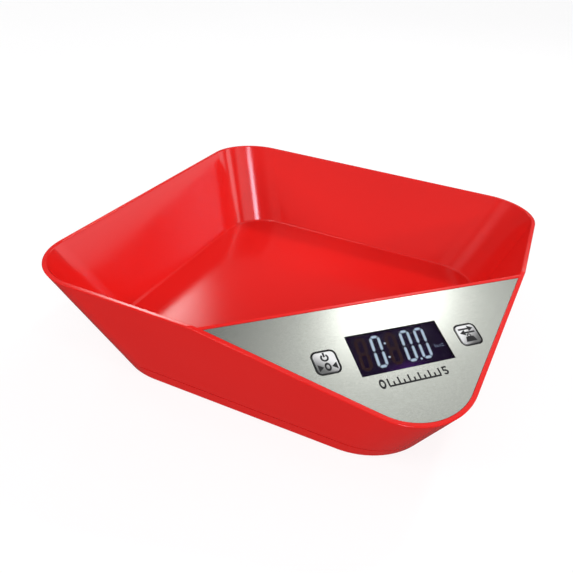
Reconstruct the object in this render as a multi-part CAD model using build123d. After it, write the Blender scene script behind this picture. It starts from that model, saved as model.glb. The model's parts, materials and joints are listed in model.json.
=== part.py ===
from build123d import *
import math
import os

# Kitchen scale with a built-in square bowl, in millimetres.
# +Z is up, the table is z = 0, and the sloping front panel faces -Y.
# The square body stands on its corner in plan: one corner points to -Y and is cut off by the panel.

# ---- body: a square pyramid with rounded corners, wider at the rim ----
RIM_HALF = 107.8
LOW_HALF = 85.3
RIM_RADIUS = 30.5
LOW_RADIUS = 36.0
BODY_HEIGHT = 60.3
WALL = 2.2
FOOT_STAND = 1.5
EDGE_FILLET = 0.5
RECESS_FILLET = 0.18
BODY_LOW_Z = FOOT_STAND
RIM_Z = BODY_LOW_Z + BODY_HEIGHT
LEAN = math.atan((RIM_HALF - LOW_HALF) / BODY_HEIGHT)
WALL_FLAT = WALL / math.cos(LEAN)

# ---- sloping panel that cuts the front corner ----
BEND_FROM_CENTRE = 65.3
PANEL_SLOPE = 18.25
ROOT2 = math.sqrt(2)
BACK_TIP = RIM_HALF * ROOT2 - RIM_RADIUS * (ROOT2 - 1)


def half_at(z):
    return LOW_HALF + (z - BODY_LOW_Z) * math.tan(LEAN)


def radius_at(z):
    return LOW_RADIUS + (z - BODY_LOW_Z) * (RIM_RADIUS - LOW_RADIUS) / BODY_HEIGHT


def corner_reach(z):
    return half_at(z) * ROOT2 - radius_at(z) * (ROOT2 - 1)


def front_tip():
    """How far in front of the centre the panel meets the rounded front corner."""
    reach = BACK_TIP
    for _ in range(40):
        z = RIM_Z - (reach - BEND_FROM_CENTRE) * math.tan(math.radians(PANEL_SLOPE))
        reach = corner_reach(z)
    return reach


CENTRE_Y = (front_tip() - BACK_TIP) / 2
BEND_Y = CENTRE_Y - BEND_FROM_CENTRE

# ---- split between the bowl and the base tray ----
TRAY_TOP_Z = 9.2
SPLIT_GAP = 0.6
BOWL_LOW_Z = TRAY_TOP_Z + SPLIT_GAP
PLATE = 1.8
TRAY_INSIDE_Z = BODY_LOW_Z + PLATE
LOW_EDGE_FILLET = 0.8
LIP_THICK = 1.2
LIP_CLEARANCE = 0.45
LIP_UNDER_FLOOR = 0.9
LIP_BRIDGE_Z = 6.5

# ---- inside of the bowl ----
FLOOR_Z = 15.3
FLOOR_THICK = 2.2
FLOOR_HALF = 86.0
FLOOR_RADIUS = 28.8
FLOOR_FILLET = 1.6
FLOOR_LOW_Z = FLOOR_Z - FLOOR_THICK
CAVITY_OVER = 4.0
DAM_SETBACK = 1.2
DAM_THICK = 1.8
DAM_LEAN = 9.0

# ---- panel stack, measured down from the cut face ----
PLATE_DEPTH = 0.25
PLATE_THICK = 0.4
TAPE_THICK = 0.15
PLATE_LOW = PLATE_DEPTH + PLATE_THICK
RECESS = PLATE_LOW + TAPE_THICK
DECK_THICK = 2.0
DECK_LOW = RECESS + DECK_THICK
BORDER = 2.2
PLATE_TOP_EDGE = 3.0
PLATE_GAP = 0.15
TAPE_MARGIN = 1.0
RUNNING_GAP = 0.1

# ---- display, in panel coordinates: x across, distance down the slope from the bend ----
DISPLAY_DOWN = 28.55
WINDOW = (45.2, 20.3)
LENS = (49.0, 23.6)
LENS_LOW = PLATE_LOW + 0.8
GASKET_THICK = 0.3
LCD_TOP = LENS_LOW + GASKET_THICK
LCD = (50.0, 25.0)
LCD_THICK = 2.2
LCD_LEDGE = 1.6
LCD_LOW = LCD_TOP + LCD_THICK
LCD_OPENING = (50.8, 25.8)
FRAME_WALL = 1.5
BACKLIGHT = (48.0, 19.0)
STRIP = (46.0, 2.0)
STRIP_FROM_EDGE = 1.9

# ---- circuit board and its screws ----
BOARD_TOP = 8.4
BOARD_LOW = BOARD_TOP + 1.6
BOARD_MIDDLE = (55.0, 32.0)
BOARD_WINGS = (77.0, 16.0)
BOARD_EARS = (67.5, 21.6)
BLOB_X = -8.0
BLOB_SPHERE = 20.0
BLOB_HEIGHT = 1.6
BOARD_SCREW_RADIUS = 0.9
BOARD_SCREW_REACH = 3.4
BOARD_HEAD_RADIUS = 2.1
BOARD_HEAD_HEIGHT = 1.4
BOARD_DRIVE = (3.0, 0.5)
BOARD_HOLE_FIT = 0.2
BOSS_RADIUS = 2.2
BOSS_FLOOR = DECK_LOW + 0.4

# ---- buttons and the switches under them ----
SIDES = (-1, 1)
BUTTON_X = 34.9
BUTTON_DOWN = 28.7
BUTTON_SIZE = 9.9
BUTTON_RADIUS = 2.1
BUTTON_GAP = 0.5
BUTTON_EDGE = 0.4
BUTTON_TRAVEL = 0.5
SEAL_GAP = 0.15
SEAL_THICK = 1.2
FLANGE = 11.8
FLANGE_TOP = DECK_LOW + RUNNING_GAP
FLANGE_LOW = FLANGE_TOP + 0.9
NUB_RADIUS = 1.5
SWITCH_SIZE = 6.0
SWITCH_TOP = BOARD_TOP - 3.5
PLUNGER_RADIUS = 1.7
PLUNGER_TOP = SWITCH_TOP - 0.9
PLUNGER_LOW = SWITCH_TOP + 0.6
PLUNGER_WELL = PLUNGER_LOW + BUTTON_TRAVEL + 0.3
BOARD_SCREW_X = 31.0
BOARD_SCREW_Y = 8.4
BOARD_SCREWS = [(x * BOARD_SCREW_X, BUTTON_DOWN + y * BOARD_SCREW_Y) for x in SIDES for y in SIDES]

# ---- load cell, lying along X under the middle of the bowl ----
CELL = (47.0, 12.0, 6.0)
CELL_LOW_Z = 4.9
CELL_TOP_Z = CELL_LOW_Z + CELL[2]
CELL_MID_Z = (CELL_LOW_Z + CELL_TOP_Z) / 2
CELL_HOLE_X = (13.5, 19.5)
CELL_HOLE_MIDDLE = sum(CELL_HOLE_X) / 2
GAUGE_BORE_X = 4.0
GAUGE_BORE_RADIUS = 2.3
GAUGE_SLOT = 1.4
POTTING = (13.0, 9.0, 1.2)
SCREW_RADIUS = 1.5
HEAD_RADIUS = 2.7
HEAD_HEIGHT = 1.6
HEAD_FIT = 0.2
DRIVE = (3.4, 0.7)
ACCESS_RADIUS = 3.6
SPACER_HALF = 7.0
TRAY_PAD_TOP_Z = CELL_LOW_Z - 1.0
PAD_HALF = 9.0
BASE_SCREW_TIP_Z = CELL_TOP_Z - 0.5
PLATFORM_SCREW_TIP_Z = FLOOR_LOW_Z - 0.2

# ---- overload stops and stiffening ribs of the tray ----
STOP_GAP = 0.6
STOP_FROM_CENTRE = 48.0
STOP_RADIUS = 3.0
RIB_HALF_THICK = 0.6
RIB_TOP_Z = 5.8
RIB_RING = 38.0
RIB_REACH = 78.0

# ---- feet ----
FOOT_RADIUS = 5.0
FOOT_RECESS = 0.8
FOOT_EDGE = 0.5
FOOT_FIT = 0.05
FOOT_FROM_CENTRE = 96.0
FOOT_PLACES = {
    "foot_front": (0, CENTRE_Y - FOOT_FROM_CENTRE),
    "foot_back": (0, CENTRE_Y + FOOT_FROM_CENTRE),
    "foot_left": (-FOOT_FROM_CENTRE, CENTRE_Y),
    "foot_right": (FOOT_FROM_CENTRE, CENTRE_Y),
}

# ---- battery bay: two AAA cells side by side, lying along X ----
AAA_LENGTH = 44.5
AAA_RADIUS = 5.25
AAA_NUB_RADIUS = 1.9
AAA_NUB_LENGTH = 0.8
AAA_PITCH = 11.5
AAA_SHIFT = 0.9
BAY_BACK = 63.9
BAY_WALL = 1.2
BAY_DEPTH = 23.2
BAY_HALF_X = 25.6
BAY_ROOF_Z = 15.8
BAY_Y_HIGH = CENTRE_Y - BAY_BACK - BAY_WALL
BAY_Y_LOW = BAY_Y_HIGH - BAY_DEPTH
BAY_MID_Y = (BAY_Y_HIGH + BAY_Y_LOW) / 2
AAA_Z = TRAY_INSIDE_Z + 0.3 + AAA_RADIUS
AAA_Y = {"battery_front": BAY_MID_Y - AAA_PITCH / 2, "battery_back": BAY_MID_Y + AAA_PITCH / 2}
AAA_TURN = {"battery_front": 1, "battery_back": -1}
CONTACT_THICK = 0.3
CONTACT_X = BAY_HALF_X - CONTACT_THICK
CONTACT_HALF_Z = 4.2
CONTACT_HALF_Y = 3.6
DOME_RADIUS = 1.6
SPRING_WIRE = 0.3
SPRING_RADIUS = 3.2
SPRING_TURNS = 3
SPRING_CONE = -18.0
SPRING_CLEAR = 0.02

# ---- battery door: two hooked tabs at its back edge, grip ribs and a finger notch ----
DOOR_GAP = 0.3
DOOR_TOP_Z = TRAY_INSIDE_Z - 0.2
DOOR_Y_HIGH = BAY_Y_HIGH - DOOR_GAP
DOOR_Y_LOW = BAY_Y_LOW + DOOR_GAP
TAB_X = 16.0
TAB_HALF = 4.0
TAB_REACH = 1.6
TAB_ROOT = 1.4
TAB_LOW_Z = TRAY_INSIDE_Z + 0.1
TAB_HIGH_Z = TAB_LOW_Z + 1.2
TAB_SLOT_FIT = 0.4
TAB_SLOT_HEIGHT = 4.2
GRIP_COUNT = 5
GRIP_PITCH = 1.6
GRIP_WIDTH = 0.7
GRIP_DEPTH = 0.5
GRIP_HALF_X = 6.0
GRIP_FROM_EDGE = 8.0
NOTCH_RADIUS = 5.0
NOTCH_DEPTH = 0.8

# ---- leads ----
GAUGE_LEAD_COUNT = 4
GAUGE_LEAD_RADIUS = 0.5
GAUGE_LEAD_PITCH = 1.15
GAUGE_LEAD_RUN_Z = 8.0
GAUGE_LEAD_HIGH_Z = 24.0
GAUGE_LEAD_SIDE_X = -30.5
GAUGE_LEAD_START_X = 2.5
GAUGE_LEAD_START_Y = 4.5
GAUGE_LEAD_TURN_Y = 26.0
GAUGE_LEAD_BOARD = (-19.0, 36.0)
BATTERY_LEAD_RADIUS = 0.65
BATTERY_LEAD_OUT = 4.5
BATTERY_LEAD_HIGH_Z = 19.0
BATTERY_LEAD_STEP = (2.0, 2.5)
BATTERY_LEAD_BOARD = (-12.0, 41.0)
LEAD_BEND = 2.4
BOARD_CLEAR = 0.3

# ---- position of the panel's own plane: local +Y runs up the slope ----
PANEL = Plane(
    origin=(0, BEND_Y, RIM_Z),
    x_dir=(1, 0, 0),
    z_dir=(0, -math.sin(math.radians(PANEL_SLOPE)), math.cos(math.radians(PANEL_SLOPE))),
)
BIG = 400.0
THROUGH = 1.0
SAME = 0.01


# ---- shared shapes ----
def rounded_square(half, radius, z):
    return Pos(0, CENTRE_Y, z) * RectangleRounded(2 * half, 2 * half, radius, rotation=45)


def cone(inset, z_low, z_high):
    """The body's outer shape, moved in by inset, between two heights."""
    flat = inset / math.cos(LEAN)
    low = rounded_square(half_at(z_low) - flat, radius_at(z_low) - flat, z_low)
    high = rounded_square(half_at(z_high) - flat, radius_at(z_high) - flat, z_high)
    return loft([low, high], ruled=True)


def slab(z_low, z_high):
    return Pos(0, 0, (z_low + z_high) / 2) * Box(BIG, BIG, z_high - z_low)


def turned(radius, z_low, z_high, x, y):
    return Pos(x, y, (z_low + z_high) / 2) * Cylinder(radius, z_high - z_low)


def block(x_low, x_high, y_low, y_high, z_low, z_high):
    middle = Pos((x_low + x_high) / 2, (y_low + y_high) / 2, (z_low + z_high) / 2)
    return middle * Box(x_high - x_low, y_high - y_low, z_high - z_low)


def on_panel(x, down, depth):
    """A place on the panel: x across, down the slope, and below the cut face."""
    return PANEL * Pos(x, -down, -depth)


def panel_prism(sketch, x, down, depth_high, depth_low):
    """A sketch on the panel, extruded from one depth to a lower one."""
    return on_panel(x, down, depth_low) * extrude(sketch, depth_low - depth_high)


def window_prism(size, depth_high, depth_low):
    return panel_prism(Rectangle(*size), 0, DISPLAY_DOWN, depth_high, depth_low)


def button_prism(side, grow, depth_high, depth_low):
    """The button's rounded square, grown all round, between two depths."""
    size = BUTTON_SIZE + 2 * grow
    sketch = RectangleRounded(size, size, BUTTON_RADIUS + grow)
    return panel_prism(sketch, side * BUTTON_X, BUTTON_DOWN, depth_high, depth_low)


def button_disc(side, radius, depth_high, depth_low):
    return panel_prism(Circle(radius), side * BUTTON_X, BUTTON_DOWN, depth_high, depth_low)


def plate_region(edge_gap, depth_high, depth_low):
    """The panel's inlaid area between two depths, inside the red border."""
    core = cone(BORDER + edge_gap, BODY_LOW_Z, RIM_Z)
    reach = PLATE_TOP_EDGE + edge_gap + BIG / 2
    layer = PANEL * Pos(0, -reach, -(depth_high + depth_low) / 2)
    return core & (layer * Box(BIG, BIG, depth_low - depth_high))


# ---- bowl ----
def above_panel():
    return PANEL * Pos(0, -BIG / 2, BIG / 2) * Box(BIG, BIG, BIG)


def below_panel(depth):
    return PANEL * Pos(0, 0, -depth - BIG / 2) * Box(BIG, BIG, BIG)


def dam_side(setback):
    """Everything behind the leaning wall that closes the bowl's front."""
    lean = math.radians(DAM_LEAN)
    face = Plane(
        origin=(0, BEND_Y - setback, RIM_Z),
        x_dir=(1, 0, 0),
        z_dir=(0, math.cos(lean), math.sin(lean)),
    )
    return face * Pos(0, 0, BIG / 2) * Box(BIG, BIG, BIG)


def bowl_cavity():
    """The space that holds the food: floor fillet at the bottom, open at the rim."""
    rim_half = half_at(RIM_Z) - WALL_FLAT
    rim_radius = radius_at(RIM_Z) - WALL_FLAT
    share = (RIM_Z + CAVITY_OVER - FLOOR_Z) / (RIM_Z - FLOOR_Z)
    top_half = FLOOR_HALF + (rim_half - FLOOR_HALF) * share
    top_radius = FLOOR_RADIUS + (rim_radius - FLOOR_RADIUS) * share
    low = rounded_square(FLOOR_HALF, FLOOR_RADIUS, FLOOR_Z)
    high = rounded_square(top_half, top_radius, RIM_Z + CAVITY_OVER)
    space = loft([low, high], ruled=True) & dam_side(DAM_SETBACK)
    return fillet(space.faces().sort_by(Axis.Z)[0].edges(), FLOOR_FILLET)


def is_top_edge(edge):
    """True for an edge along the rim or the cut face, not for one that crosses the wall."""
    middle = edge @ 0.5
    in_rim = abs(middle.Z - RIM_Z) < SAME
    in_cut = abs(PANEL.to_local_coords(middle).Z) < SAME
    return (in_rim or in_cut) and abs(middle.Y - BEND_Y) > SAME


def bowl_block():
    """The bowl's outside with the food space cut out and its top edges rounded."""
    shape = cone(0, BOWL_LOW_Z, RIM_Z) - above_panel() - bowl_cavity()
    return fillet(shape.edges().filter_by(is_top_edge), EDGE_FILLET)


def rounded_recess(part):
    """The part with the panel's recess cut into it and the recess's upper edge rounded."""
    part -= plate_region(0, -THROUGH, RECESS)
    near = plate_region(-SAME, -THROUGH, RECESS)
    edges = [edge for edge in part.edges() if abs(PANEL.to_local_coords(edge @ 0.5).Z) < SAME]
    return fillet([edge for edge in edges if near.is_inside(edge @ 0.5)], RECESS_FILLET)


def bowl():
    inner = cone(WALL, BODY_LOW_Z, RIM_Z + THROUGH)
    under_floor = inner & slab(BODY_LOW_Z, FLOOR_LOW_Z)
    front_bay = (inner & below_panel(DECK_LOW)) - dam_side(DAM_SETBACK + DAM_THICK)
    part = rounded_recess(bowl_block()) - under_floor - front_bay
    part -= window_prism(LCD_OPENING, 0, DECK_LOW + THROUGH)
    for side in SIDES:
        part -= button_prism(side, BUTTON_GAP, 0, DECK_LOW + THROUGH)
    for x, down in BOARD_SCREWS:
        part += panel_prism(Circle(BOSS_RADIUS), x, down, DECK_LOW - RUNNING_GAP, BOARD_TOP)
        part -= panel_prism(Circle(BOARD_SCREW_RADIUS), x, down, BOSS_FLOOR, BOARD_TOP + THROUGH)
    return part


# ---- faceplate and display ----
def faceplate():
    part = plate_region(PLATE_GAP, PLATE_DEPTH, PLATE_LOW)
    part -= window_prism(WINDOW, 0, RECESS)
    for side in SIDES:
        part -= button_prism(side, BUTTON_GAP, 0, RECESS)
    return part


def faceplate_tape():
    part = plate_region(TAPE_MARGIN, PLATE_LOW, RECESS)
    part -= window_prism(LCD_OPENING, 0, RECESS + THROUGH)
    for side in SIDES:
        part -= button_prism(side, BUTTON_GAP, 0, RECESS + THROUGH)
    return part


def display_lens():
    return window_prism(LENS, PLATE_LOW, LENS_LOW)


def display_gasket():
    return window_prism(LENS, LENS_LOW, LCD_TOP) - window_prism(WINDOW, 0, LCD_TOP + THROUGH)


def lcd_glass():
    middle = LCD_TOP + LCD_THICK / 2
    front = window_prism(LCD, LCD_TOP, middle)
    return front + window_prism((LCD[0], LCD[1] - LCD_LEDGE), middle, LCD_LOW)


def lcd_backlight():
    return window_prism(BACKLIGHT, LCD_LOW, BOARD_TOP)


def zebra_strips():
    strips = []
    for side in SIDES:
        down = DISPLAY_DOWN + side * (LCD[1] / 2 - STRIP_FROM_EDGE)
        strips.append(panel_prism(Rectangle(*STRIP), 0, down, LCD_LOW, BOARD_TOP))
    return Compound(children=strips)


def lcd_frame():
    outer_size = (LCD_OPENING[0] + 2 * FRAME_WALL, LCD_OPENING[1] + 2 * FRAME_WALL)
    outer = window_prism(outer_size, DECK_LOW + RUNNING_GAP, BOARD_TOP)
    return outer - window_prism(LCD_OPENING, 0, BOARD_TOP + THROUGH)


# ---- circuit board ----
def main_board():
    part = window_prism(BOARD_MIDDLE, BOARD_TOP, BOARD_LOW)
    for size in (BOARD_WINGS, BOARD_EARS):
        part += panel_prism(Rectangle(*size), 0, BUTTON_DOWN, BOARD_TOP, BOARD_LOW)
    for x, down in BOARD_SCREWS:
        hole = Circle(BOARD_SCREW_RADIUS + BOARD_HOLE_FIT)
        part -= panel_prism(hole, x, down, BOARD_TOP - THROUGH, BOARD_LOW + THROUGH)
    return part


def board_screws():
    screws = []
    head_low = BOARD_LOW + BOARD_HEAD_HEIGHT
    drive_top = BOARD_LOW + BOARD_HEAD_HEIGHT / 2
    for x, down in BOARD_SCREWS:
        screw = panel_prism(Circle(BOARD_SCREW_RADIUS), x, down, BOARD_TOP - BOARD_SCREW_REACH, BOARD_LOW)
        screw += panel_prism(Circle(BOARD_HEAD_RADIUS), x, down, BOARD_LOW, head_low)
        for size in (BOARD_DRIVE, BOARD_DRIVE[::-1]):
            screw -= panel_prism(Rectangle(*size), x, down, drive_top, head_low + THROUGH)
        screws.append(screw)
    return Compound(children=screws)


def controller_blob():
    """A low dome of black resin over the controller, under the board."""
    ball = on_panel(BLOB_X, DISPLAY_DOWN, BOARD_LOW + BLOB_HEIGHT - BLOB_SPHERE) * Sphere(BLOB_SPHERE)
    below = panel_prism(Circle(BLOB_SPHERE), BLOB_X, DISPLAY_DOWN, BOARD_LOW, BOARD_LOW + 2 * BLOB_HEIGHT)
    return ball & below


# ---- buttons ----
def button(side):
    cap = button_prism(side, 0, 0, FLANGE_TOP)
    rim = cap.faces().sort_by(Axis(PANEL.origin, PANEL.z_dir))[-1]
    cap = fillet(rim.edges(), BUTTON_EDGE)
    cap += button_prism(side, (FLANGE - BUTTON_SIZE) / 2, FLANGE_TOP, FLANGE_LOW)
    return cap + button_disc(side, NUB_RADIUS, FLANGE_LOW, PLUNGER_TOP)


def button_seal(side):
    """Black rubber ring that fills most of the gap round a button, under the faceplate."""
    outer = button_prism(side, BUTTON_GAP, PLATE_LOW, PLATE_LOW + SEAL_THICK)
    return outer - button_prism(side, SEAL_GAP, 0, DECK_LOW)


def tact_switch(side):
    square = Rectangle(SWITCH_SIZE, SWITCH_SIZE)
    part = panel_prism(square, side * BUTTON_X, BUTTON_DOWN, SWITCH_TOP, BOARD_TOP)
    return part - button_disc(side, PLUNGER_RADIUS + RUNNING_GAP, SWITCH_TOP - THROUGH, PLUNGER_WELL)


def switch_plunger(side):
    return button_disc(side, PLUNGER_RADIUS, PLUNGER_TOP, PLUNGER_LOW)


# ---- base tray and feet ----
def foot(place):
    part = turned(FOOT_RADIUS, 0, BODY_LOW_Z + FOOT_RECESS, *place)
    return fillet(part.faces().sort_by(Axis.Z)[0].edges(), FOOT_EDGE)


def tray_skirt():
    """Outer wall and bottom plate, with an inner lip that stands up inside the bowl's wall."""
    shell = cone(0, BODY_LOW_Z, TRAY_TOP_Z)
    shell = fillet(shell.faces().sort_by(Axis.Z)[0].edges(), LOW_EDGE_FILLET)
    shell -= cone(WALL, TRAY_INSIDE_Z, RIM_Z)
    lip_outside = WALL + LIP_CLEARANCE
    lip_core = cone(lip_outside + LIP_THICK, BODY_LOW_Z, RIM_Z)
    lip = cone(lip_outside, TRAY_INSIDE_Z, FLOOR_LOW_Z - LIP_UNDER_FLOOR) - lip_core
    bridge = cone(WALL / 2, TRAY_INSIDE_Z, LIP_BRIDGE_Z) - lip_core
    return shell + bridge + lip


def tray_ribs():
    """A square of ribs round the load cell, and a rib from it towards each free corner."""
    low, high = TRAY_INSIDE_Z, RIB_TOP_Z
    half = RIB_HALF_THICK
    outer, inner = RIB_RING + half, RIB_RING - half
    ring = block(-outer, outer, -outer, outer, low, high)
    ring -= block(-inner, inner, -inner, inner, low - THROUGH, high + THROUGH)
    ring += block(-RIB_REACH, -inner, -half, half, low, high)
    ring += block(inner, RIB_REACH, -half, half, low, high)
    ring += block(-half, half, inner, RIB_REACH, low, high)
    return Pos(0, CENTRE_Y, 0) * ring


def bay_shell():
    """Walls and roof of the battery bay, standing on the tray."""
    reach_x = BAY_HALF_X + BAY_WALL
    y_low = BAY_Y_LOW - BAY_WALL
    y_high = BAY_Y_HIGH + BAY_WALL
    return block(-reach_x, reach_x, y_low, y_high, BODY_LOW_Z, BAY_ROOF_Z)


def bay_space():
    roof_low = BAY_ROOF_Z - BAY_WALL
    return block(-BAY_HALF_X, BAY_HALF_X, BAY_Y_LOW, BAY_Y_HIGH, BODY_LOW_Z - THROUGH, roof_low)


def tab_slot(x):
    """Opening in the bay's back wall for one door tab to tilt in."""
    half = TAB_HALF + TAB_SLOT_FIT
    y_low = BAY_Y_HIGH - THROUGH
    y_high = BAY_Y_HIGH + BAY_WALL + THROUGH
    return block(x - half, x + half, y_low, y_high, TRAY_INSIDE_Z, TRAY_INSIDE_Z + TAB_SLOT_HEIGHT)


def cell_pad():
    """Raised pad under the fixed end of the load cell."""
    x_low, x_high = -CELL_HOLE_MIDDLE - PAD_HALF, -CELL_HOLE_MIDDLE + PAD_HALF
    return block(x_low, x_high, CENTRE_Y - PAD_HALF, CENTRE_Y + PAD_HALF, TRAY_INSIDE_Z, TRAY_PAD_TOP_Z)


def base_tray():
    part = tray_skirt() + tray_ribs() + bay_shell() - bay_space() + cell_pad()
    for side in SIDES:
        part -= tab_slot(side * TAB_X)
    for place in FOOT_PLACES.values():
        part += turned(FOOT_RADIUS + BAY_WALL, TRAY_INSIDE_Z, TRAY_INSIDE_Z + FOOT_RECESS, *place)
        part -= turned(FOOT_RADIUS + FOOT_FIT, BODY_LOW_Z - THROUGH, BODY_LOW_Z + FOOT_RECESS, *place)
    for x in CELL_HOLE_X:
        below = BODY_LOW_Z - THROUGH
        part -= turned(SCREW_RADIUS, below, TRAY_PAD_TOP_Z, -x, CENTRE_Y)
        part -= turned(HEAD_RADIUS + HEAD_FIT, below, BODY_LOW_Z + HEAD_HEIGHT, -x, CENTRE_Y)
        part -= turned(ACCESS_RADIUS, below, TRAY_INSIDE_Z + THROUGH, x, CENTRE_Y)
    for x, y in [(1, 0), (-1, 0), (0, 1), (0, -1)]:
        place = (x * STOP_FROM_CENTRE, CENTRE_Y + y * STOP_FROM_CENTRE)
        part += turned(STOP_RADIUS, TRAY_INSIDE_Z, FLOOR_LOW_Z - STOP_GAP, *place)
    return part


# ---- battery bay ----
def battery_door():
    half_x = BAY_HALF_X - DOOR_GAP
    part = block(-half_x, half_x, DOOR_Y_LOW, DOOR_Y_HIGH, BODY_LOW_Z, DOOR_TOP_Z)
    for side in SIDES:
        low, high = side * TAB_X - TAB_HALF, side * TAB_X + TAB_HALF
        part += block(low, high, DOOR_Y_HIGH - TAB_ROOT, DOOR_Y_HIGH, DOOR_TOP_Z, TAB_HIGH_Z)
        part += block(low, high, DOOR_Y_HIGH, DOOR_Y_HIGH + TAB_REACH, TAB_LOW_Z, TAB_HIGH_Z)
    below = BODY_LOW_Z - THROUGH
    for step in range(GRIP_COUNT):
        y = DOOR_Y_LOW + GRIP_FROM_EDGE + GRIP_PITCH * step
        part -= block(-GRIP_HALF_X, GRIP_HALF_X, y, y + GRIP_WIDTH, below, BODY_LOW_Z + GRIP_DEPTH)
    return part - turned(NOTCH_RADIUS, below, BODY_LOW_Z + NOTCH_DEPTH, 0, DOOR_Y_LOW)


def battery(node):
    """One AAA cell: can, shoulder and positive nub, the nub towards +X or -X."""
    turn = AAA_TURN[node]
    end = AAA_LENGTH / 2
    shoulder = end - AAA_NUB_LENGTH
    profile = Polyline(
        (0, -end), (AAA_RADIUS, -end), (AAA_RADIUS, shoulder),
        (AAA_NUB_RADIUS, shoulder), (AAA_NUB_RADIUS, end), (0, end), close=True,
    )
    body = revolve(make_face(profile), Axis.Y)
    return Pos(turn * AAA_SHIFT, AAA_Y[node], AAA_Z) * Rot(0, 0, -90 * turn) * body


def contact_plate(side, y, half_y):
    x_low, x_high = sorted((side * BAY_HALF_X, side * CONTACT_X))
    return block(x_low, x_high, y - half_y, y + half_y, AAA_Z - CONTACT_HALF_Z, AAA_Z + CONTACT_HALF_Z)


def contact_spring(side, y):
    """A conical wire spring from a contact plate to a cell's flat end."""
    cell_end = AAA_LENGTH / 2 - AAA_SHIFT
    free = CONTACT_X - 2 * SPRING_WIRE - SPRING_CLEAR - cell_end
    coil = Helix(pitch=free / SPRING_TURNS, height=free, radius=SPRING_RADIUS, cone_angle=SPRING_CONE)
    body = sweep(Plane(origin=coil @ 0, z_dir=coil % 0) * Circle(SPRING_WIRE), path=coil)
    return Pos(side * (CONTACT_X - SPRING_WIRE), y, AAA_Z) * Rot(0, -90 * side, 0) * body


def dome_contact(side, y):
    """A pressed boss that touches a cell's positive nub."""
    reach = CONTACT_X - (AAA_LENGTH / 2 + AAA_SHIFT)
    return Pos(side * (CONTACT_X - reach / 2), y, AAA_Z) * Rot(0, 90, 0) * Cylinder(DOME_RADIUS, reach)


def battery_bridge_contact():
    plate = contact_plate(1, BAY_MID_Y, AAA_PITCH / 2 + CONTACT_HALF_Y)
    spring = contact_spring(1, AAA_Y["battery_back"])
    return Compound(children=[plate + dome_contact(1, AAA_Y["battery_front"]), spring])


def battery_positive_contact():
    y = AAA_Y["battery_back"]
    return contact_plate(-1, y, CONTACT_HALF_Y) + dome_contact(-1, y)


def battery_negative_contact():
    y = AAA_Y["battery_front"]
    return Compound(children=[contact_plate(-1, y, CONTACT_HALF_Y), contact_spring(-1, y)])


# ---- load cell ----
def load_cell():
    long, wide, high = CELL
    part = Pos(0, CENTRE_Y, CELL_MID_Z) * Box(long, wide, high)
    part -= Pos(0, CENTRE_Y, CELL_MID_Z) * Box(2 * GAUGE_BORE_X, wide + THROUGH, GAUGE_SLOT)
    for side in SIDES:
        bore = Pos(side * GAUGE_BORE_X, CENTRE_Y, CELL_MID_Z) * Rot(90, 0, 0)
        part -= bore * Cylinder(GAUGE_BORE_RADIUS, wide + THROUGH)
        for x in CELL_HOLE_X:
            part -= turned(SCREW_RADIUS, CELL_LOW_Z - THROUGH, CELL_TOP_Z + THROUGH, side * x, CENTRE_Y)
    return part


def cell_spacer(side, z_low, z_high):
    x_low, x_high = side * CELL_HOLE_MIDDLE - SPACER_HALF, side * CELL_HOLE_MIDDLE + SPACER_HALF
    part = block(x_low, x_high, CENTRE_Y - SPACER_HALF, CENTRE_Y + SPACER_HALF, z_low, z_high)
    for x in CELL_HOLE_X:
        part -= turned(SCREW_RADIUS, z_low - THROUGH, z_high + THROUGH, side * x, CENTRE_Y)
    return part


def cell_screws(side, head_low_z, tip_z):
    screws = []
    for x in CELL_HOLE_X:
        screw = turned(HEAD_RADIUS, head_low_z, head_low_z + HEAD_HEIGHT, side * x, CENTRE_Y)
        screw += turned(SCREW_RADIUS, head_low_z + HEAD_HEIGHT, tip_z, side * x, CENTRE_Y)
        for long, wide in (DRIVE, DRIVE[::-1]):
            screw -= Pos(side * x, CENTRE_Y, head_low_z) * Box(long, wide, HEAD_HEIGHT)
        screws.append(screw)
    return Compound(children=screws)


def gauge_potting():
    part = Pos(0, CENTRE_Y, CELL_TOP_Z + POTTING[2] / 2) * Box(*POTTING)
    return fillet(part.edges().group_by(Axis.Z)[-1], EDGE_FILLET)


# ---- leads ----
def lead(points, radius):
    path = FilletPolyline(*points, radius=LEAD_BEND)
    return sweep(Plane(origin=path @ 0, z_dir=path % 0) * Circle(radius), path=path)


def board_point(x, down):
    """Where a lead meets the underside of the circuit board."""
    return tuple(on_panel(x, down, BOARD_LOW + BOARD_CLEAR).position)


def gauge_leads():
    """Thin insulated wires from the gauges, round the battery bay, to the circuit board."""
    wires = []
    for step in range(GAUGE_LEAD_COUNT):
        off = GAUGE_LEAD_PITCH * step
        x_start, x_side = GAUGE_LEAD_START_X - off, GAUGE_LEAD_SIDE_X - off
        y_start, y_turn = CENTRE_Y - GAUGE_LEAD_START_Y, CENTRE_Y - GAUGE_LEAD_TURN_Y - off
        y_rise = BAY_MID_Y + off
        z_start, z_high = CELL_TOP_Z + POTTING[2] / 2, GAUGE_LEAD_HIGH_Z + off
        end = board_point(GAUGE_LEAD_BOARD[0] - off, GAUGE_LEAD_BOARD[1])
        points = [
            (x_start, y_start, z_start),
            (x_start, y_turn, z_start),
            (x_side, y_turn, GAUGE_LEAD_RUN_Z),
            (x_side, y_rise, GAUGE_LEAD_RUN_Z),
            (x_side, y_rise, z_high),
            (end[0], end[1], z_high),
            end,
        ]
        wires.append(lead(points, GAUGE_LEAD_RADIUS))
    return Compound(children=wires)


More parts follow.
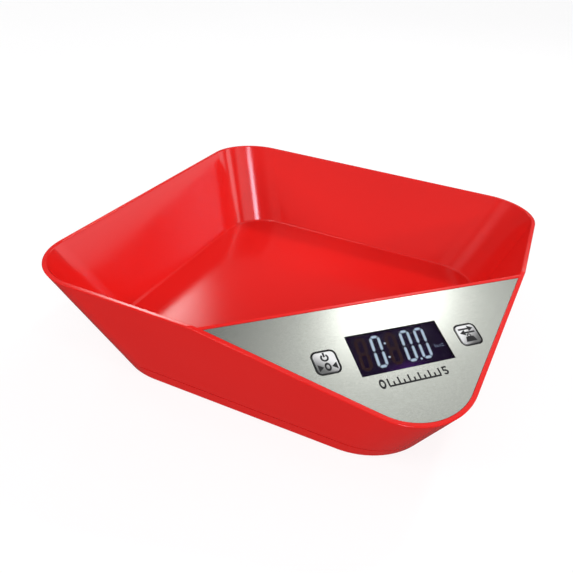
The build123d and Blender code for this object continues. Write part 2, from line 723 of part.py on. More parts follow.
def battery_leads():
    """Two insulated wires from the bay's contacts to the circuit board."""
    wires = []
    x_wall = -BAY_HALF_X - BAY_WALL
    x_out = x_wall - BATTERY_LEAD_OUT
    for step, y in enumerate(AAA_Y.values()):
        z_high = BATTERY_LEAD_HIGH_Z + BATTERY_LEAD_STEP[1] * step
        end = board_point(BATTERY_LEAD_BOARD[0] - BATTERY_LEAD_STEP[0] * step, BATTERY_LEAD_BOARD[1])
        points = [(x_wall, y, AAA_Z), (x_out, y, AAA_Z), (x_out, y, z_high), (end[0], end[1], z_high), end]
        wires.append(lead(points, BATTERY_LEAD_RADIUS))
    return Compound(children=wires)


# ---- all pieces ----
def parts():
    """Every piece, under its node's name."""
    pieces = {
        "bowl": bowl(),
        "faceplate": faceplate(),
        "faceplate_tape": faceplate_tape(),
        "display_lens": display_lens(),
        "display_gasket": display_gasket(),
        "lcd_glass": lcd_glass(),
        "lcd_backlight": lcd_backlight(),
        "lcd_frame": lcd_frame(),
        "zebra_strips": zebra_strips(),
        "main_board": main_board(),
        "board_screws": board_screws(),
        "controller_blob": controller_blob(),
        "base_tray": base_tray(),
        "battery_door": battery_door(),
        "battery_bridge_contact": battery_bridge_contact(),
        "battery_positive_contact": battery_positive_contact(),
        "battery_negative_contact": battery_negative_contact(),
        "battery_leads": battery_leads(),
        "load_cell": load_cell(),
        "load_cell_base_spacer": cell_spacer(-1, TRAY_PAD_TOP_Z, CELL_LOW_Z),
        "load_cell_platform_spacer": cell_spacer(1, CELL_TOP_Z, FLOOR_LOW_Z),
        "load_cell_base_screws": cell_screws(-1, BODY_LOW_Z, BASE_SCREW_TIP_Z),
        "load_cell_platform_screws": cell_screws(1, CELL_LOW_Z - HEAD_HEIGHT, PLATFORM_SCREW_TIP_Z),
        "gauge_potting": gauge_potting(),
        "gauge_leads": gauge_leads(),
    }
    for side, purpose in ((-1, "zero"), (1, "unit")):
        pieces[f"{purpose}_button"] = button(side)
        pieces[f"{purpose}_button_seal"] = button_seal(side)
        pieces[f"{purpose}_switch"] = tact_switch(side)
        pieces[f"{purpose}_switch_plunger"] = switch_plunger(side)
    for node in AAA_Y:
        pieces[node] = battery(node)
    for node, place in FOOT_PLACES.items():
        pieces[node] = foot(place)
    return pieces


os.makedirs("parts", exist_ok=True)
for name, shape in parts().items():
    export_step(shape, f"parts/{name}.step")
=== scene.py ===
import json
import math

import bmesh
import bpy
from mathutils import Matrix, Vector


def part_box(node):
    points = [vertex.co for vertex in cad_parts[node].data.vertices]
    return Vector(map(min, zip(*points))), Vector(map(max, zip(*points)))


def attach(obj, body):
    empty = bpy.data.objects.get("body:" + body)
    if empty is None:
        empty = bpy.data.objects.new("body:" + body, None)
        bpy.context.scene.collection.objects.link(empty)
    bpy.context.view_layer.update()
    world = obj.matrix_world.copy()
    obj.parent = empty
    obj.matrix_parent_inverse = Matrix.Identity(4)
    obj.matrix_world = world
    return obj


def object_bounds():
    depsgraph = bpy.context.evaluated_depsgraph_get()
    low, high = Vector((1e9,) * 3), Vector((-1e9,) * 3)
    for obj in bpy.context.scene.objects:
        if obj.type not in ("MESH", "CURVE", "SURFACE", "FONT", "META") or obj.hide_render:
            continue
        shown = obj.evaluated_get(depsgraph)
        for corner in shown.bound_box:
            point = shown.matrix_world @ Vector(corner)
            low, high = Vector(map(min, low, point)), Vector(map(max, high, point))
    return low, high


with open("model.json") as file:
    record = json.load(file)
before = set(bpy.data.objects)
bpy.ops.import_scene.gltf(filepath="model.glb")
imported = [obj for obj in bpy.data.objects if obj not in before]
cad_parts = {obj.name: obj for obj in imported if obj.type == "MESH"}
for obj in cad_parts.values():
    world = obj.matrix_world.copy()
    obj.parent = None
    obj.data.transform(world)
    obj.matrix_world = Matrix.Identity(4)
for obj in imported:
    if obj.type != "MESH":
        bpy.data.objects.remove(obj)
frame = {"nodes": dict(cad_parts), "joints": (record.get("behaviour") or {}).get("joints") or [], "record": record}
CAD_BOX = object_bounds()

MM = 0.001
RECORD = frame["record"]
NODES = frame["nodes"]
JOINTS = {joint["name"]: joint for joint in frame["joints"]}

# ---------------------------------------------------------------- camera
# Angles in radians, distances in metres, lens and sensor in millimetres.
# The aim is from the middle of the CAD box.
VIEW_AZIMUTH = math.radians(-23.14)
VIEW_ELEVATION = math.radians(32.31)
VIEW_ROLL = 0.0786
VIEW_DISTANCE = 0.3394
VIEW_LENS = 36.83
SENSOR_WIDTH = 36
AIM_FROM_MIDDLE = Vector((-0.01247, 0.00139, -0.00681))

# ---------------------------------------------------------------- the panel's own axes
# ACROSS runs along the display, UP runs up the slope, OUT points out of the panel.
ACROSS = Vector((1, 0, 0))
OUT = -Vector(JOINTS["zero_button_press"]["axis"]).normalized()
UP = OUT.cross(ACROSS)


def panel_span(node):
    """Lowest and highest place of a CAD node along the panel's three axes."""
    points = [vertex.co for vertex in NODES[node].data.vertices]
    along = [[point.dot(axis) for point in points] for axis in (ACROSS, UP, OUT)]
    return [(min(places), max(places)) for places in along]


def panel_frame(middle_node, face_node, across=0.0, up=0.0):
    """A matrix with the panel's axes: in the middle of one node, on the outer face of another."""
    spans = panel_span(middle_node)
    origin = ACROSS * (sum(spans[0]) / 2 + across * MM) + UP * (sum(spans[1]) / 2 + up * MM)
    origin += OUT * panel_span(face_node)[2][1]
    matrix = Matrix((ACROSS, UP, OUT)).transposed().to_4x4()
    matrix.translation = origin
    return matrix


# ---------------------------------------------------------------- node tools
class Graph:
    """Short calls for the nodes of one material or world."""

    def __init__(self, tree):
        self.nodes = tree.nodes
        self.links = tree.links

    def put(self, socket, value):
        if isinstance(value, bpy.types.NodeSocket):
            self.links.new(value, socket)
        else:
            socket.default_value = value

    def math(self, operation, *values):
        node = self.nodes.new("ShaderNodeMath")
        node.operation = operation
        for socket, value in zip(node.inputs, values):
            self.put(socket, value)
        return node.outputs["Value"]

    def product(self, first, *others):
        for other in others:
            first = self.math("MULTIPLY", first, other)
        return first

    def dot(self, vector, fixed):
        node = self.nodes.new("ShaderNodeVectorMath")
        node.operation = "DOT_PRODUCT"
        self.put(node.inputs[0], vector)
        node.inputs[1].default_value = fixed
        return node.outputs["Value"]

    def ranged(self, value, low, high, from_low=0.3, from_high=0.7, smooth=False):
        """A value stretched from one range to another; a noise mostly keeps to the range given as default."""
        node = self.nodes.new("ShaderNodeMapRange")
        node.interpolation_type = "SMOOTHSTEP" if smooth else "LINEAR"
        node.inputs["From Min"].default_value = from_low
        node.inputs["From Max"].default_value = from_high
        node.inputs["To Min"].default_value = low
        node.inputs["To Max"].default_value = high
        self.links.new(value, node.inputs["Value"])
        return node.outputs["Result"]

    def mixed(self, value, color_a, color_b):
        node = self.nodes.new("ShaderNodeMix")
        node.data_type = "RGBA"
        for name, color in (("A", color_a), ("B", color_b)):
            socket = [s for s in node.inputs if s.name == name and s.type == "RGBA"][0]
            self.put(socket, color if isinstance(color, bpy.types.NodeSocket) else (*color, 1))
        self.links.new(value, node.inputs["Factor"])
        return [s for s in node.outputs if s.type == "RGBA"][0]

    def axes(self, vector):
        node = self.nodes.new("ShaderNodeSeparateXYZ")
        self.links.new(vector, node.inputs["Vector"])
        return node.outputs["X"], node.outputs["Y"], node.outputs["Z"]


class Surface(Graph):
    """One Principled material."""

    def __init__(self, name, color, roughness, **sockets):
        self.material = bpy.data.materials.new(name)
        self.material.use_nodes = True
        super().__init__(self.material.node_tree)
        self.shader = self.nodes["Principled BSDF"]
        self.shader.inputs["Base Color"].default_value = (*color, 1)
        self.shader.inputs["Roughness"].default_value = roughness
        for socket, value in sockets.items():
            self.shader.inputs[socket.replace("_", " ")].default_value = value
        self.place = self.nodes.new("ShaderNodeTexCoord").outputs["Object"]

    def noise(self, scale, detail=2.0, stretch=(1, 1, 1)):
        mapping = self.nodes.new("ShaderNodeMapping")
        mapping.inputs["Scale"].default_value = stretch
        self.links.new(self.place, mapping.inputs["Vector"])
        texture = self.nodes.new("ShaderNodeTexNoise")
        texture.inputs["Scale"].default_value = scale
        texture.inputs["Detail"].default_value = detail
        self.links.new(mapping.outputs["Vector"], texture.inputs["Vector"])
        return texture.outputs["Fac"]

    def bump(self, height, strength, distance):
        """A bump on top of any bump that the shader has already."""
        node = self.nodes.new("ShaderNodeBump")
        node.inputs["Strength"].default_value = strength
        node.inputs["Distance"].default_value = distance
        self.links.new(height, node.inputs["Height"])
        before = self.shader.inputs["Normal"]
        if before.links:
            self.links.new(before.links[0].from_socket, node.inputs["Normal"])
        self.links.new(node.outputs["Normal"], before)

    def feed(self, socket, value):
        self.links.new(value, self.shader.inputs[socket])


# ---------------------------------------------------------------- materials of the CAD nodes
def red_shell():
    """Glossy moulded ABS: faint flow marks in colour and gloss, orange peel, fine scuffs."""
    s = Surface("red_shell", (0.74, 0.012, 0.01), 0.14, Specular_IOR_Level=0.42)
    s.feed("Base Color", s.mixed(s.noise(9, 3), (0.71, 0.011, 0.009), (0.75, 0.014, 0.011)))
    scuffs = s.ranged(s.noise(1, 4, (900, 60, 900)), 0.0, 0.03, 0.62, 0.75)
    s.feed("Roughness", s.math("ADD", s.ranged(s.noise(35, 3), 0.12, 0.16), scuffs))
    s.bump(s.noise(200, 1), 0.02, 0.0004)
    return s.material


def brushed_plate():
    """Stainless sheet with a fine grain along X."""
    s = Surface("brushed_plate", (0.74, 0.765, 0.70), 0.17, Metallic=1.0, Anisotropic=0.2)
    fine = s.noise(1, 4, (900, 5200, 5200))
    coarse = s.noise(1, 2, (250, 1700, 1700))
    grain = s.math("ADD", s.product(fine, 0.85), s.product(coarse, 0.15))
    s.feed("Base Color", s.mixed(s.ranged(grain, 0, 1), (0.64, 0.665, 0.605), (0.80, 0.825, 0.76)))
    s.feed("Roughness", s.ranged(grain, 0.14, 0.20))
    s.bump(grain, 0.12, 0.00005)
    return s.material


def metallic_cap():
    """Silver button cap with a fine metal flake: painted reflection at its inner upper corner, painted shade at
    its outer lower corner.
    """
    s = Surface("metallic_cap", (0.72, 0.73, 0.72), 0.28, Metallic=0.35)
    x, _, _ = s.axes(s.place)
    spans = panel_span("zero_button")
    middle_x = -sum(spans[0]) / 2
    half = (spans[0][1] - spans[0][0]) / 2
    outward = s.product(s.math("SUBTRACT", s.math("ABSOLUTE", x), middle_x), 1 / half)
    upward = s.product(s.math("SUBTRACT", s.dot(s.place, UP), sum(spans[1]) / 2), 1 / half)
    # Painted shade and painted reflection: the colour runs from light silver at the cap's inner upper corner to
    # the dark flaked grey at its outer lower corner.
    shade = s.ranged(s.math("SUBTRACT", s.product(outward, 0.8), upward), 0, 1, -0.7, 1.1, smooth=True)
    flake = s.noise(4200, 1)
    dark = s.mixed(flake, (0.11, 0.115, 0.11), (0.17, 0.175, 0.17))
    s.feed("Base Color", s.mixed(shade, (0.90, 0.91, 0.90), dark))
    s.feed("Roughness", s.ranged(s.noise(500, 2), 0.30, 0.40))
    s.bump(flake, 0.05, 0.00005)
    return s.material


def clear_lens():
    """Clear window. It bends light less than real plastic does, so that the figures under it can be read."""
    s = Surface("lens", (0.9, 0.9, 0.93), 0.02, Transmission_Weight=1.0, IOR=1.08)
    s.feed("Roughness", s.ranged(s.noise(90, 3), 0.005, 0.03))
    return s.material


def lcd():
    """Dark display glass with a dim violet backlight bleed near its lower edge."""
    s = Surface("lcd", (0.004, 0.003, 0.006), 0.2, Specular_IOR_Level=0.03)
    s.feed("Base Color", s.mixed(s.noise(120, 2), (0.003, 0.002, 0.005), (0.006, 0.004, 0.010)))
    low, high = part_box("lcd_glass")
    x, y, _ = s.axes(s.place)
    down = s.ranged(y, 1.0, 0.0, low.y, low.y + 0.30 * (high.y - low.y))
    side = s.ranged(s.math("ABSOLUTE", x), 1.0, 0.0, 0.0, 0.5 * high.x)
    glow = s.math("MAXIMUM", s.product(down, side), s.product(s.noise(130, 1), 0.09))
    s.feed("Emission Color", s.mixed(glow, (0.004, 0.0015, 0.008), (0.10, 0.02, 0.22)))
    s.shader.inputs["Emission Strength"].default_value = 0.7
    return s.material


def moulded(name, color, roughness, darker=0.8):
    """Satin moulded plastic or rubber: a fine spark-eroded grain and a little colour drift."""
    s = Surface(name, color, roughness)
    s.feed("Base Color", s.mixed(s.noise(70, 3), color, tuple(c * darker for c in color)))
    s.feed("Roughness", s.ranged(s.noise(300, 2), roughness * 0.85, min(1.0, roughness * 1.15)))
    s.bump(s.noise(2500, 2), 0.25, 0.00006)
    return s.material


def machined(name, color, roughness, stretch):
    """Bare metal with tool marks along one direction."""
    s = Surface(name, color, roughness, Metallic=1.0)
    marks = s.noise(1, 3, stretch)
    s.feed("Base Color", s.mixed(s.ranged(marks, 0, 1), color, tuple(c * 0.8 for c in color)))
    s.feed("Roughness", s.ranged(marks, roughness * 0.8, roughness * 1.3))
    s.bump(marks, 0.1, 0.00005)
    return s.material


def circuit_board():
    """Green solder mask with copper traces showing through as a lighter green."""
    s = Surface("board", (0.012, 0.12, 0.035), 0.3)
    brick = s.nodes.new("ShaderNodeTexBrick")
    brick.inputs["Scale"].default_value = 260
    brick.inputs["Mortar Size"].default_value = 0.09
    s.links.new(s.place, brick.inputs["Vector"])
    traces = s.product(brick.outputs["Fac"], s.ranged(s.noise(60, 1), 0, 1, 0.45, 0.5))
    s.feed("Base Color", s.mixed(traces, (0.010, 0.10, 0.03), (0.05, 0.30, 0.10)))
    s.bump(traces, 0.2, 0.00004)
    return s.material


def cell_jacket():
    """Printed battery jacket: dark sleeve and a copper-coloured band by the positive end."""
    s = Surface("cell_jacket", (0.03, 0.03, 0.04), 0.3, Metallic=0.6)
    x, y, _ = s.axes(s.place)
    low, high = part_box("battery_front")
    middle_y = (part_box("battery_back")[1].y + low.y) / 2
    turned = s.math("SUBTRACT", 1.0, s.product(s.math("GREATER_THAN", y, middle_y), 2.0))
    band = s.math("GREATER_THAN", s.product(x, turned), low.x + 0.72 * (high.x - low.x))
    s.feed("Base Color", s.mixed(band, (0.03, 0.03, 0.04), (0.62, 0.33, 0.12)))
    s.feed("Roughness", s.ranged(s.noise(300, 2), 0.22, 0.36))
    return s.material


def insulation():
    """Red and black insulation, changing from lead to lead."""
    s = Surface("lead_insulation", (0.4, 0.02, 0.02), 0.4)
    pick = s.ranged(s.noise(180, 1), 0, 1, 0.49, 0.51)
    s.feed("Base Color", s.mixed(pick, (0.45, 0.02, 0.02), (0.02, 0.02, 0.022)))
    s.bump(s.noise(1800, 2), 0.2, 0.00005)
    return s.material


SLOT_MATERIALS = {
    "red_shell": red_shell(),
    "brushed_plate": brushed_plate(),
    "metallic_cap": metallic_cap(),
    "lens": clear_lens(),
    "lcd": lcd(),
    "board": circuit_board(),
    "cell_jacket": cell_jacket(),
    "lead_insulation": insulation(),
    "tape": moulded("tape", (0.8, 0.8, 0.76), 0.7),
    "white_plastic": moulded("white_plastic", (0.8, 0.8, 0.78), 0.4, 0.93),
    "black_plastic": moulded("black_plastic", (0.018, 0.018, 0.02), 0.42),
    "seal_rubber": moulded("seal_rubber", (0.008, 0.008, 0.009), 0.7),
    "strip_rubber": moulded("strip_rubber", (0.05, 0.05, 0.055), 0.6),
    "foot_rubber": moulded("foot_rubber", (0.03, 0.03, 0.032), 0.75),
    "potting": moulded("potting", (0.82, 0.82, 0.78), 0.55, 0.9),
    "steel": machined("steel", (0.55, 0.55, 0.54), 0.3, (900, 900, 150)),
    "plated": machined("plated", (0.72, 0.71, 0.68), 0.22, (400, 400, 1500)),
    "alloy": machined("alloy", (0.78, 0.79, 0.80), 0.34, (120, 2200, 2200)),
}
for part in RECORD["subparts"]:
    mesh = NODES[part["node"]].data
    mesh.materials.clear()
    mesh.materials.append(SLOT_MATERIALS[part["material_slot"]])


# ---------------------------------------------------------------- flat marks
def mark(name, outlines, matrix, thickness, material, body):
    """Flat closed outlines, in millimetres on a face, raised by thickness."""
    shape = bmesh.new()
    for outline in outlines:
        face = shape.faces.new([shape.verts.new((x * MM, y * MM, 0)) for x, y in outline])
        face.normal_update()
        if face.normal.z < 0:
            face.normal_flip()
    raised = bmesh.ops.extrude_face_region(shape, geom=shape.faces[:])
    top = [item for item in raised["geom"] if isinstance(item, bmesh.types.BMVert)]
    bmesh.ops.translate(shape, verts=top, vec=(0, 0, thickness * MM))
    bmesh.ops.recalc_face_normals(shape, faces=shape.faces[:])
    mesh = bpy.data.meshes.new(name)
    shape.to_mesh(mesh)
    shape.free()
    mesh.transform(matrix)
    piece = bpy.data.objects.new(name, mesh)
    bpy.context.scene.collection.objects.link(piece)
    mesh.materials.append(material)
    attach(piece, body)


def moved(outlines, dx, dy):
    return [[(x + dx, y + dy) for x, y in outline] for outline in outlines]


def scaled(outlines, wide, high):
    return [[(x * wide, y * high) for x, y in outline] for outline in outlines]


def turned(outlines, degrees):
    c, s = math.cos(math.radians(degrees)), math.sin(math.radians(degrees))
    return [[(x * c - y * s, x * s + y * c) for x, y in outline] for outline in outlines]


def bar(x_low, x_high, y_low, y_high):
    return [(x_low, y_low), (x_high, y_low), (x_high, y_high), (x_low, y_high)]


def disc(radius, steps=20):
    turn = math.tau / steps
    return [(radius * math.cos(i * turn), radius * math.sin(i * turn)) for i in range(steps)]


def ring(radius, width, start=0, end=360, steps=24):
    """A ring, or part of one, as small quads side by side."""
    inner, outer = radius - width / 2, radius + width / 2
    quads = []
    for i in range(steps):
        a = math.radians(start + (end - start) * i / steps)
        b = math.radians(start + (end - start) * (i + 1) / steps)
        corners = ((inner, a), (outer, a), (outer, b), (inner, b))
        quads.append([(r * math.cos(t), r * math.sin(t)) for r, t in corners])
    return quads


# ---------------------------------------------------------------- lit display
# Lengths are in millimetres on the glass, from the middle of the display.
DIGIT_WIDE = 5.3
DIGIT_HIGH = 16.1
SEGMENT = 1.5
SEGMENT_GAP = 0.12
MITRE = 1.4
# The brighter core inside each lit segment, a painted highlight, is moved in from the segment's edge by this much.
CORE_INSET = 0.28
SLANT = math.tan(math.radians(7))
DIGIT_PITCH = 7.3
DIGITS_LEFT = -16.9
DIGITS_RAISE = 0.9
LIT_DIGITS = (1, 3, 4)
GHOST_DIGITS = (0, 2)
LIT_THICK = 0.02
CORE_THICK = 0.04
DOT_RADIUS = 0.5
# The colon's two dots and the point: a digit's place, then the way across and up from that digit's middle.
DOTS = [(1, 4.5, 3.3), (1, 3.6, -3.6), (3, 2.9, -7.4)]
# The dashes that stand for the unit: left, right, lower and upper edge of each, and where their middle is.
UNIT_BARS = [(-2.4, -2.0, -1, 1), (-1.4, -0.4, -1, -0.6), (-1.4, -1.0, -1, 0.2), (0.2, 0.6, -1, 0.2),
             (1.0, 2.2, -1, -0.6), (1.0, 2.2, 0.0, 0.4)]
UNIT_PLACE = (19.4, -1.6)
# Each segment's two ends, in half widths and half heights of a digit.
BARS = {"a": (-1, 1, 1, 1), "d": (-1, -1, 1, -1), "g": (-1, 0, 1, 0), "f": (-1, 0, -1, 1),
        "b": (1, 0, 1, 1), "e": (-1, -1, -1, 0), "c": (1, -1, 1, 0)}


def segment(x0, y0, x1, y1, inset):
    """One mitred bar of a seven-segment digit between two corners, its outline moved in by inset."""
    half = SEGMENT / 2 - inset
    gap = SEGMENT_GAP + inset * MITRE
    if x0 == x1:
        return [(x0, y0 + gap), (x0 + half, y0 + half + gap), (x0 + half, y1 - half - gap),
                (x0, y1 - gap), (x0 - half, y1 - half - gap), (x0 - half, y0 + half + gap)]
    return [(x0 + gap, y0), (x0 + half + gap, y0 - half), (x1 - half - gap, y0 - half),
            (x1 - gap, y0), (x1 - half - gap, y0 + half), (x0 + half + gap, y0 + half)]


def digit(place, names, inset=0.0):
    """Seven-segment digit from the segment names a to g, leaning to the right."""
    wide = (DIGIT_WIDE - SEGMENT) / 2
    high = (DIGIT_HIGH - SEGMENT) / 2
    middle = DIGITS_LEFT + DIGIT_PITCH * place
    outlines = []
    for name in names:
        x0, y0, x1, y1 = BARS[name]
        outlines.append(segment(x0 * wide, y0 * high, x1 * wide, y1 * high, inset))
    return [[(x + y * SLANT + middle, y + DIGITS_RAISE) for x, y in outline] for outline in outlines]


def glowing(name, color, strength):
    s = Surface(name, tuple(c * 0.3 for c in color), 0.5, Specular_IOR_Level=0.0)
    s.feed("Emission Color", s.mixed(s.noise(900, 2), color, tuple(c * 0.85 for c in color)))
    s.shader.inputs["Emission Strength"].default_value = strength
    return s.material


def lit_display():
    """Lit figures with painted shade on each segment's rim and a painted highlight on its core, and faint ghosts
    of the digits that are off.
    """
    face = panel_frame("lcd_glass", "lcd_glass")
    # The figures glow with the display's backlight; the dimmer rim and brighter core of each segment are painted
    # shade and a painted highlight, as on a bevel.
    edge = glowing("segment_edge_painted_shade", (0.20, 0.25, 0.31), 1.0)
    core = glowing("segment_core_painted_highlight", (0.42, 0.52, 0.60), 1.0)
    ghost = glowing("ghost_segment", (0.030, 0.014, 0.014), 1.0)
    dim = glowing("dim_mark", (0.14, 0.17, 0.24), 1.0)
    outer = [outline for i in LIT_DIGITS for outline in digit(i, "abcdef")]
    inner = [outline for i in LIT_DIGITS for outline in digit(i, "abcdef", CORE_INSET)]
    eights = [outline for i in GHOST_DIGITS for outline in digit(i, "abcdefg")]
    dots = []
    for place, across, up in DOTS:
        middle = DIGITS_LEFT + DIGIT_PITCH * place
        dots += moved([disc(DOT_RADIUS)], middle + across, DIGITS_RAISE + up)
    unit = [bar(*edges) for edges in UNIT_BARS]
    mark("digit_edges", outer, face, LIT_THICK, edge, "platform")
    mark("digit_cores", inner + dots, face, CORE_THICK, core, "platform")
    mark("ghost_digits", eights, face, LIT_THICK, ghost, "platform")
    mark("unit_mark", moved(unit, *UNIT_PLACE), face, LIT_THICK, dim, "platform")


# ---------------------------------------------------------------- printed marks
PRINT_THICK = 0.03
# How far above the middle of its button each icon is.
POWER_UP = 2.1
TO_ZERO_UP = -2.3
SWAP_UP = 2.0
WEIGHT_UP = -1.9
# The tick scale's size, and the way from the middle of the display to the middle of the scale, across and up.
TICKS = 11
TICK_PITCH = 2.44
TICK_WIDE = 0.76
SCALE_PLACE = (-0.5, -14.95)
FIGURES_FROM_MIDDLE = 15.0


def ink():
    s = Surface("print_ink", (0.008, 0.008, 0.009), 0.4)
    s.feed("Roughness", s.ranged(s.noise(800, 2), 0.35, 0.5))
    return s.material


INK = ink()


def power_mark():
    return ring(1.45, 0.8, 125, 415) + [bar(-0.42, 0.42, 0.3, 2.4)]


def to_zero_mark():
    """A nought between two arrowheads."""
    zero = scaled(ring(1.0, 0.7), 1.05, 1.5)
    left = [(-4.2, 1.7), (-4.2, -1.7), (-1.8, 0)]
    return zero + [left, [(-x, y) for x, y in left]]


def swap_mark():
    """Two arrows, one above the other, that point opposite ways."""
    right = [bar(-3.8, 1.4, 0.45, 1.3), [(1.2, 2.4), (1.2, -0.6), (3.9, 0.9)]]
    left = [[(-x, -y - 0.2) for x, y in outline] for outline in right]
    return right + left


def weight_mark():
    return [[(-2.8, -1.9), (2.8, -1.9), (1.9, 0.7), (-1.9, 0.7)]] + moved(ring(0.75, 0.6), 0, 1.2)


def tick_scale():
    """A plain scale of ticks from nought to five."""
    reach = TICK_PITCH * (TICKS - 1) / 2
    ticks = [bar(-reach - 0.2, reach + 0.2, -2.0, -1.2)]
    for i in range(TICKS):
        high = 1.9 if i % 2 == 0 else 0.3
        x = -reach + i * TICK_PITCH
        ticks.append(bar(x - TICK_WIDE / 2, x + TICK_WIDE / 2, -1.4, high))
    nought = scaled(ring(1.25, 0.8), 0.9, 1.35)
    five = [bar(-1.1, 1.2, 1.3, 2.1), bar(-1.1, -0.35, 0.1, 1.5), bar(-1.0, 0.3, -0.1, 0.6)]
    five += moved(scaled(ring(0.85, 0.75, -150, 90, 16), 1.1, 1.0), 0.05, -0.65)
    return ticks + moved(nought, -FIGURES_FROM_MIDDLE, 0) + moved(five, FIGURES_FROM_MIDDLE, 0)


def button_outline():
    """A thin dark line around a button opening: a ring with straight sides and round corners."""
    half, radius, width = 5.6, 2.65, 0.42
    flat = half - radius
    quarter = moved(ring(radius, width, 0, 90, 6), flat, flat)
    quarter.append(bar(-flat, flat, half - width / 2, half + width / 2))
    return [outline for i in range(4) for outline in turned(quarter, 90 * i)]


def printed(name, outlines, place, body):
    mark(name, outlines, place, PRINT_THICK, INK, body)


def printed_marks():
    left = panel_frame("zero_button", "zero_button")
    right = panel_frame("unit_button", "unit_button")
    printed("power_icon", moved(power_mark(), 0, POWER_UP), left, "zero_button")
    printed("to_zero_icon", moved(to_zero_mark(), 0, TO_ZERO_UP), left, "zero_button")
    printed("swap_icon", moved(swap_mark(), 0, SWAP_UP), right, "unit_button")
    printed("weight_icon", moved(weight_mark(), 0, WEIGHT_UP), right, "unit_button")
    for button in ("zero_button", "unit_button"):
        printed(button + "_outline", button_outline(), panel_frame(button, "faceplate"), "platform")
    printed("tick_scale", tick_scale(), panel_frame("lcd_glass", "faceplate", *SCALE_PLACE), "platform")


def gate_mark():
    """The faint round witness of the injection gate in the middle of the bowl's floor."""
    low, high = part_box("base_tray")
    floor = [mount for mount in RECORD["mounts"] if mount["name"] == "weighing_floor"][0]
    place = Matrix.Translation(((low.x + high.x) / 2, (low.y + high.y) / 2, floor["pos_m"][2]))
    red = SLOT_MATERIALS["red_shell"]
    mark("gate_mark", ring(2.0, 0.3) + [disc(0.5)], place, PRINT_THICK, red, "platform")


lit_display()
printed_marks()
gate_mark()


# ---------------------------------------------------------------- stage, lights and camera
STAGE_RADIUS = 4.0
STAGE_HEIGHT = 4.0
STAGE_STEPS = 64
STAGE_BELOW = 0.2 * MM
FLOOR_GRAY = (0.15, 0.15, 0.15)
FLOOR_GLOW = 0.85
WALL_GRAY = (0.05, 0.05, 0.05)
WALL_GLOW = 0.93


def studio_surface(name, color, glow):
    """Matt paper that glows evenly."""
    s = Surface(name, color, 0.9, Specular_IOR_Level=0.0)
    s.feed("Base Color", s.mixed(s.noise(3, 2), color, tuple(c * 1.1 for c in color)))
    s.shader.inputs["Emission Color"].default_value = (1, 1, 1, 1)
    s.shader.inputs["Emission Strength"].default_value = glow
    return s.material


def staged(name, points, faces, material):
    """A mesh of the stage, which doesn't show in the object's gloss."""
    mesh = bpy.data.meshes.new(name)
    mesh.from_pydata(points, [], faces)
    piece = bpy.data.objects.new(name, mesh)
    bpy.context.scene.collection.objects.link(piece)
    mesh.materials.append(material)
    piece.visible_glossy = False
    return piece


def studio_stage():
    """A pale round floor, and a pale wall around it that only the camera sees."""
    around = [math.tau * i / STAGE_STEPS for i in range(STAGE_STEPS)]
    low = [(STAGE_RADIUS * math.cos(a), STAGE_RADIUS * math.sin(a), -STAGE_BELOW) for a in around]
    high = [(x, y, STAGE_HEIGHT) for x, y, _ in low]
    floor_paper = studio_surface("floor_paper", FLOOR_GRAY, FLOOR_GLOW)
    staged("studio_floor", low, [tuple(range(STAGE_STEPS))], floor_paper)
    sides = [(i, (i + 1) % STAGE_STEPS, (i + 1) % STAGE_STEPS + STAGE_STEPS, i + STAGE_STEPS)
             for i in range(STAGE_STEPS)]
    wall = staged("studio_wall", low + high, sides, studio_surface("wall_paper", WALL_GRAY, WALL_GLOW))
    wall.visible_diffuse = False
    wall.visible_transmission = False
    wall.visible_shadow = False


def toward(azimuth, elevation):
    """A unit vector from two angles in degrees; azimuth 0 is +X and 90 is +Y."""
    a, e = math.radians(azimuth), math.radians(elevation)
    return Vector((math.cos(e) * math.cos(a), math.cos(e) * math.sin(a), math.sin(e)))


# Softboxes far away: azimuth, elevation, half width, half height, soft edge, roll, all in degrees,
# then brightness and colour.
SOFTBOXES = [
    (83.0, 34.0, 2.5, 2.0, 4.5, 0, 12.0, (1.0, 0.98, 0.96)),
    (38.0, 32.0, 2.5, 3.0, 2.0, 0, 14.0, (1.0, 0.97, 0.95)),
    (3.0, 10.0, 15.0, 4.5, 4.0, 0, 1.7, (1.0, 0.93, 0.97)),
    (-23.0, 24.0, 10.0, 4.0, 2.0, 20, 3.4, (1.0, 0.94, 0.97)),
    (-60.0, 33.0, 11.0, 6.0, 5.0, 0, 1.5, (1.0, 0.95, 0.97)),
    (-86.0, 34.0, 3.5, 7.0, 2.5, 0, 19.0, (1.0, 0.93, 1.1)),
    (-131.0, 60.0, 3.0, 3.0, 3.0, 0, 12.0, (1.0, 1.0, 1.0)),
    (150.0, 68.0, 8.0, 6.0, 6.0, 0, 2.4, (1.0, 1.0, 1.0)),
    (-148.0, 24.0, 15.0, 9.0, 9.0, 0, 0.32, (1.0, 1.0, 0.95)),
    (-120.0, 72.0, 12.0, 12.0, 22.0, 0, 0.6, (1.0, 1.0, 1.0)),
    (148.0, 46.0, 20.0, 8.0, 16.0, 0, 0.5, (1.0, 1.0, 1.0)),
    (17.0, 59.0, 8.0, 11.0, 11.0, 0, 0.56, (1.0, 1.0, 1.0)),
    (26.0, 57.5, 2.2, 4.0, 3.5, -28, 2.7, (1.0, 1.0, 1.0)),
]
# The dome's two strengths, and the heights of a direction between which it goes from one to the other.
LOW_DOME = 0.07
HIGH_DOME = 0.15
DOME_LOW = -0.1
DOME_HIGH = 0.3
# Lamps: azimuth and elevation in degrees, distance and width in metres, and power in watts.
LAMPS = {
    "key": (25, 46, 1.2, 0.10, 4.2),
    "right": (-62, 24, 1.2, 0.12, 2.8),
    "front": (-135, 48, 1.6, 1.0, 1.6),
    "left": (174, 28, 1.4, 0.6, 6.8),
}


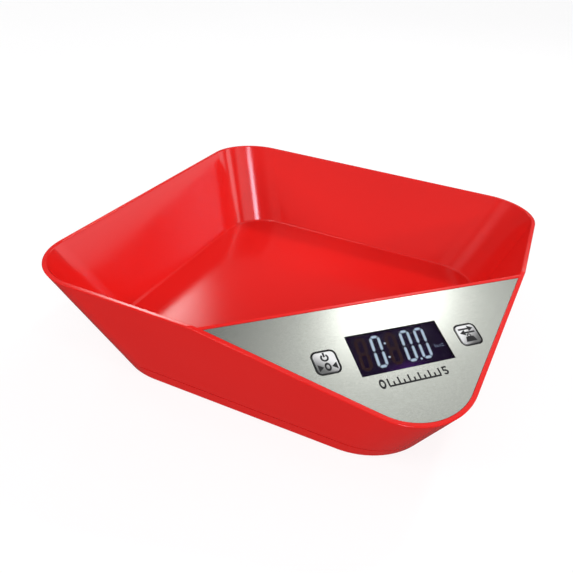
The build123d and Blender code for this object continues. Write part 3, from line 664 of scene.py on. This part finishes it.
def studio_world():
    """A dome that is dim below the horizon and brighter above it, with the softboxes on it."""
    world = bpy.data.worlds.new("studio")
    bpy.context.scene.world = world
    world.use_nodes = True
    world.node_tree.nodes.clear()
    g = Graph(world.node_tree)
    direction = g.nodes.new("ShaderNodeTexCoord").outputs["Generated"]
    base = g.nodes.new("ShaderNodeBackground")
    base.inputs["Color"].default_value = (1, 1, 1, 1)
    height = g.dot(direction, (0, 0, 1))
    g.put(base.inputs["Strength"], g.ranged(height, LOW_DOME, HIGH_DOME, DOME_LOW, DOME_HIGH, smooth=True))
    total = base.outputs["Background"]
    for azimuth, elevation, wide, high, edge, roll, brightness, color in SOFTBOXES:
        middle = toward(azimuth, elevation)
        side = Vector((0, 0, 1)).cross(middle).normalized()
        top = middle.cross(side)
        turn = math.radians(roll)
        side, top = side * math.cos(turn) + top * math.sin(turn), top * math.cos(turn) - side * math.sin(turn)
        mask = g.math("GREATER_THAN", g.dot(direction, middle), 0.0)
        for axis, half in ((side, wide), (top, high)):
            away = g.math("ABSOLUTE", g.dot(direction, axis))
            inner = math.sin(math.radians(max(0, half - edge / 2)))
            outer = math.sin(math.radians(half + edge))
            mask = g.product(mask, g.ranged(away, 1, 0, inner, outer, smooth=True))
        light = g.nodes.new("ShaderNodeBackground")
        light.inputs["Color"].default_value = (*color, 1)
        g.put(light.inputs["Strength"], g.product(mask, brightness))
        both = g.nodes.new("ShaderNodeAddShader")
        g.put(both.inputs[0], total)
        g.put(both.inputs[1], light.outputs["Background"])
        total = both.outputs["Shader"]
    g.put(g.nodes.new("ShaderNodeOutputWorld").inputs["Surface"], total)


def soft_light(name, azimuth, elevation, distance, size, power):
    """An area light that faces the object and doesn't show in its reflections."""
    data = bpy.data.lights.new(name, "AREA")
    data.shape = "DISK"
    data.size = size
    data.energy = power
    lamp = bpy.data.objects.new(name, data)
    bpy.context.scene.collection.objects.link(lamp)
    lamp.location = toward(azimuth, elevation) * distance
    lamp.rotation_mode = "QUATERNION"
    lamp.rotation_quaternion = lamp.location.to_track_quat("Z", "Y")
    lamp.visible_glossy = False


def studio_lights():
    studio_world()
    for name, settings in LAMPS.items():
        soft_light(name, *settings)


def photo_camera():
    """The camera, rolled about its own line of sight."""
    low, high = CAD_BOX
    aim = (low + high) / 2 + AIM_FROM_MIDDLE
    flat = math.cos(VIEW_ELEVATION)
    forward = Vector((-math.sin(VIEW_AZIMUTH) * flat, math.cos(VIEW_AZIMUTH) * flat,
                      -math.sin(VIEW_ELEVATION)))
    right = forward.cross(Vector((0, 0, 1))).normalized()
    up = right.cross(forward)
    tilted_right = right * math.cos(VIEW_ROLL) + up * math.sin(VIEW_ROLL)
    tilted_up = up * math.cos(VIEW_ROLL) - right * math.sin(VIEW_ROLL)
    data = bpy.data.cameras.new("camera")
    data.lens = VIEW_LENS
    data.sensor_width = SENSOR_WIDTH
    camera = bpy.data.objects.new("camera", data)
    bpy.context.scene.collection.objects.link(camera)
    matrix = Matrix((tilted_right, tilted_up, -forward)).transposed().to_4x4()
    matrix.translation = aim - forward * VIEW_DISTANCE
    camera.matrix_world = matrix
    bpy.context.scene.camera = camera


studio_stage()
studio_lights()
photo_camera()
bpy.context.scene.view_settings.view_transform = "Standard"
